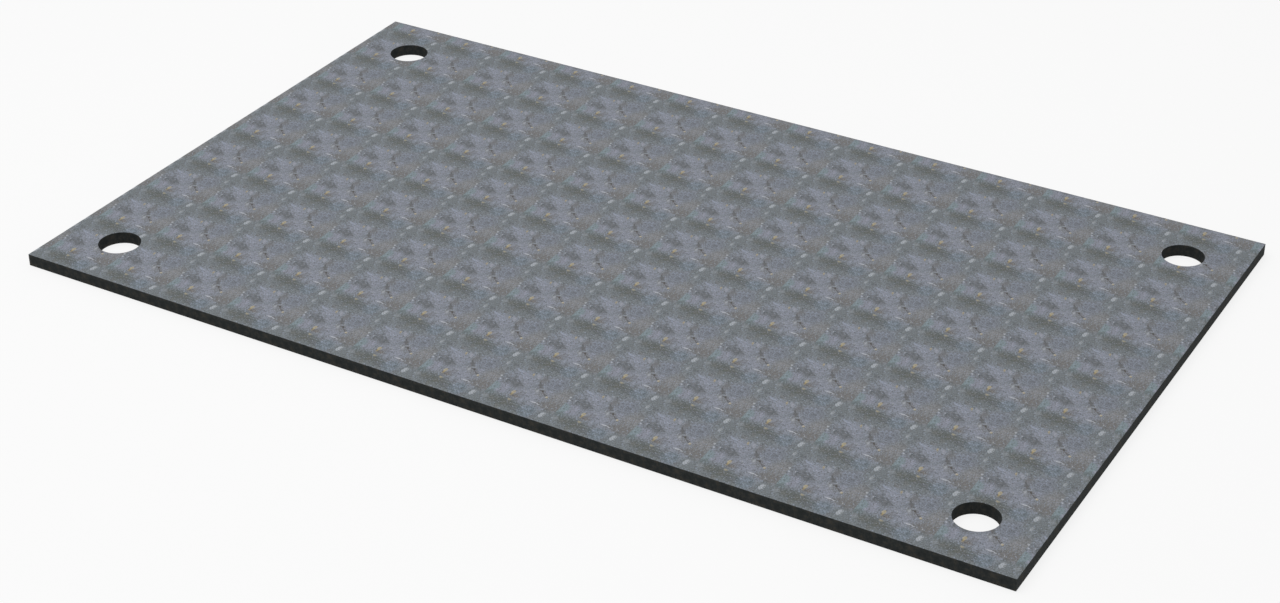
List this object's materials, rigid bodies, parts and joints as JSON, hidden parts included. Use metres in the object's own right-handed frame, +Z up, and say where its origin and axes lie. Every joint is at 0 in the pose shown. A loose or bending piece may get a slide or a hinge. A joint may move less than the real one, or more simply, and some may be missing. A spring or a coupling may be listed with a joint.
{
  "type": "steel road plate",
  "caption": "Flat rectangular steel road plate with a round lifting hole near each corner, laid over a trench or soft ground to carry traffic.",
  "frame": {"origin": "middle of the underside, where the plate rests on the ground", "axes": "+X along the length, +Y along the width, +Z up through the thickness to the traffic face"},
  "size_m": [2.5, 1.5, 0.03],
  "materials": {
    "mill_steel": "dull hot-rolled mill scale, mottled blue-grey with green-grey and brown patches, pale flecks and small ochre rust marks; cut edges and hole walls near black"
  },
  "bodies": {
    "root": {"road_plate": "mill_steel"}
  },
  "joints": []
}
